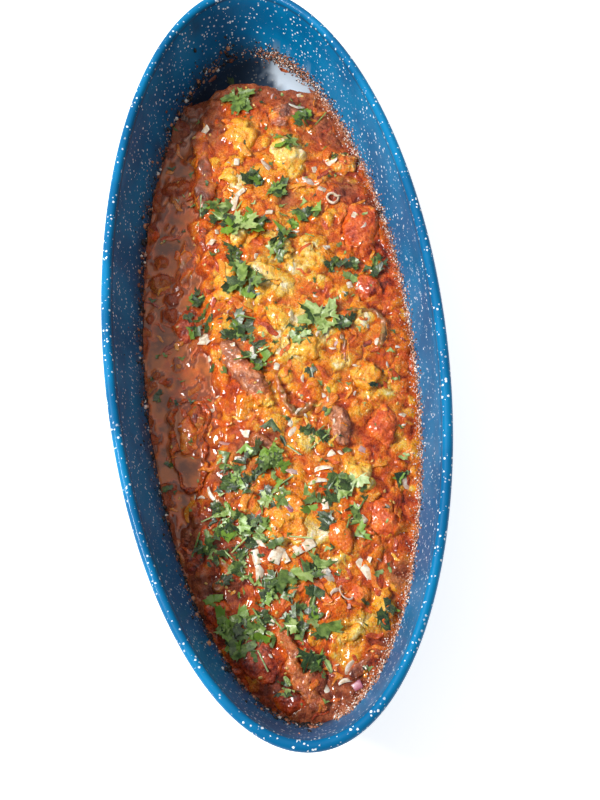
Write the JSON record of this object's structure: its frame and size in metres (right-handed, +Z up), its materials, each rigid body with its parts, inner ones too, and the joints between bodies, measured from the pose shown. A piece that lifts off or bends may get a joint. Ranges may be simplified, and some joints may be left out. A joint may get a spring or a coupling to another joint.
{
  "type": "pan of shakshuka",
  "caption": "Long oval enamelled baking pan filled with shakshuka: tomato stew with egg curds, peppers, sausage, onion and chopped herbs.",
  "frame": {"origin": "middle of the pan's flat base, on the surface it rests on", "axes": "+Y along the pan's length, towards the end with the pool's far tip; +X across the pan, away from the pool of juice; +Z up"},
  "size_m": [0.1744, 0.42, 0.068],
  "materials": {
    "enamel": "gloss vitreous enamel, blue with fine white speckles",
    "stew": "moist cooked tomato and egg stew, orange red and uneven",
    "juice": "thin oily tomato juice, dull reddish brown",
    "egg": "set scrambled egg, yellow to orange, moist",
    "tomato": "cooked tomato, red, wet skin",
    "pepper": "cooked green and red pepper, olive to brown orange",
    "sausage": "browned sausage, purple brown, slightly shiny",
    "onion": "raw chopped onion, cream white, translucent"
  },
  "bodies": {
    "root": {"pan": "enamel", "stew": "stew", "juice": "juice", "sausage_long": "sausage", "sausage_short": "sausage", "sausage_piece": "sausage", "meat_far": "sausage", "egg_yolk_far": "egg", "egg_curd_far": "egg", "egg_curd_left": "egg", "egg_dome_left": "egg", "egg_curd_leaf": "egg", "egg_white_long": "egg", "egg_curd_middle": "egg", "egg_curd_right": "egg", "egg_curd_centre": "egg", "egg_field": "egg", "egg_chunk_right": "egg", "egg_curd_bubbly": "egg", "egg_grains": "egg", "egg_curd_near": "egg", "egg_crumbs_near": "egg", "tomato_pool": "tomato", "tomato_loop": "tomato", "tomato_seeded": "tomato", "tomato_dome": "tomato", "tomato_far_right": "tomato", "tomato_right": "tomato", "tomato_near_right": "tomato", "tomato_chunk": "tomato", "tomato_peeled": "tomato", "tomato_flat": "tomato", "tomato_last": "tomato", "tomato_near_left": "tomato", "tomato_left": "tomato", "pepper_long": "pepper", "pepper_curled": "pepper", "pepper_olive": "pepper", "pepper_loop": "pepper", "pepper_hook": "pepper", "pepper_arch": "pepper", "pepper_arc": "pepper", "pepper_left": "pepper", "pepper_near": "pepper", "pepper_near_right": "pepper", "onion_slice_far": "onion", "onion_long": "onion", "onion_cream": "onion", "onion_pair_a": "onion", "onion_pair_b": "onion", "onion_pool": "onion", "onion_pale": "onion", "onion_ring_far": "onion"}
  },
  "joints": []
}
